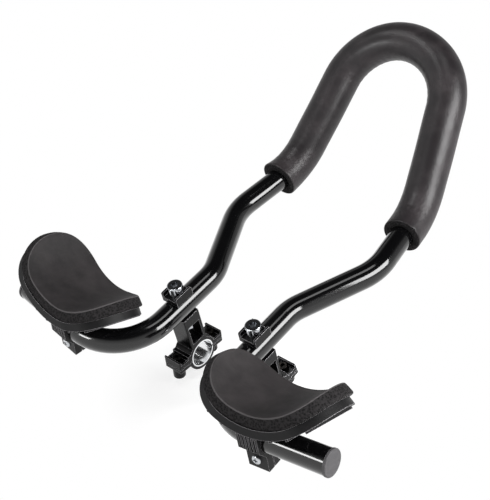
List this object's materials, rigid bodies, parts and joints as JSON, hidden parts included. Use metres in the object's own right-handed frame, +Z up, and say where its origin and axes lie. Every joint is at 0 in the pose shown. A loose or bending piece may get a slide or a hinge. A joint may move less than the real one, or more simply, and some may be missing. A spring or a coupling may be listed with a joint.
{
  "type": "aero handlebar extension",
  "caption": "Clip-on aero handlebar extension for a bicycle: bent tube with a foam-covered loop, split handlebar clamps and padded arm rests.",
  "frame": {"origin": "middle of the handlebar axis, halfway between the two clamps", "axes": "+X to the rider's right along the handlebar, +Y forward, +Z up; the arms rise towards the front"},
  "size_m": [0.356, 0.3954, 0.2819],
  "materials": {
    "gloss_black_tube": "gloss",
    "satin_black_casting": "satin",
    "bright_machined_aluminium": "machined",
    "blackened_steel": "satin",
    "chromed_steel": "polished",
    "black_moulded_plastic": "matte",
    "grey_plug_plastic": "matte",
    "grip_foam": "matte",
    "pad_foam": "matte"
  },
  "bodies": {
    "root": {"aero_tube": "gloss_black_tube", "grip_sleeve": "grip_foam", "left_end_plug": "grey_plug_plastic", "right_end_plug": "grey_plug_plastic", "left_bracket": "satin_black_casting", "right_bracket": "satin_black_casting", "left_lower_cap": "satin_black_casting", "right_lower_cap": "satin_black_casting", "left_bar_shim": "bright_machined_aluminium", "right_bar_shim": "bright_machined_aluminium", "left_clamp_bolts": "blackened_steel", "right_clamp_bolts": "blackened_steel", "left_clamp_nuts": "blackened_steel", "right_clamp_nuts": "blackened_steel", "left_saddle": "satin_black_casting", "right_saddle": "satin_black_casting", "left_saddle_washer": "chromed_steel", "right_saddle_washer": "chromed_steel", "left_saddle_bolt": "chromed_steel", "right_saddle_bolt": "chromed_steel", "left_saddle_nut": "chromed_steel", "right_saddle_nut": "chromed_steel", "left_pad_clamp": "black_moulded_plastic", "right_pad_clamp": "black_moulded_plastic", "left_pad_jaw": "black_moulded_plastic", "right_pad_jaw": "black_moulded_plastic", "left_pad_screw": "chromed_steel", "right_pad_screw": "chromed_steel", "left_pad_nut": "chromed_steel", "right_pad_nut": "chromed_steel", "left_pad_shell": "black_moulded_plastic", "right_pad_shell": "black_moulded_plastic", "left_shell_screws": "chromed_steel", "right_shell_screws": "chromed_steel", "left_arm_pad": "pad_foam", "right_arm_pad": "pad_foam"}
  },
  "joints": []
}
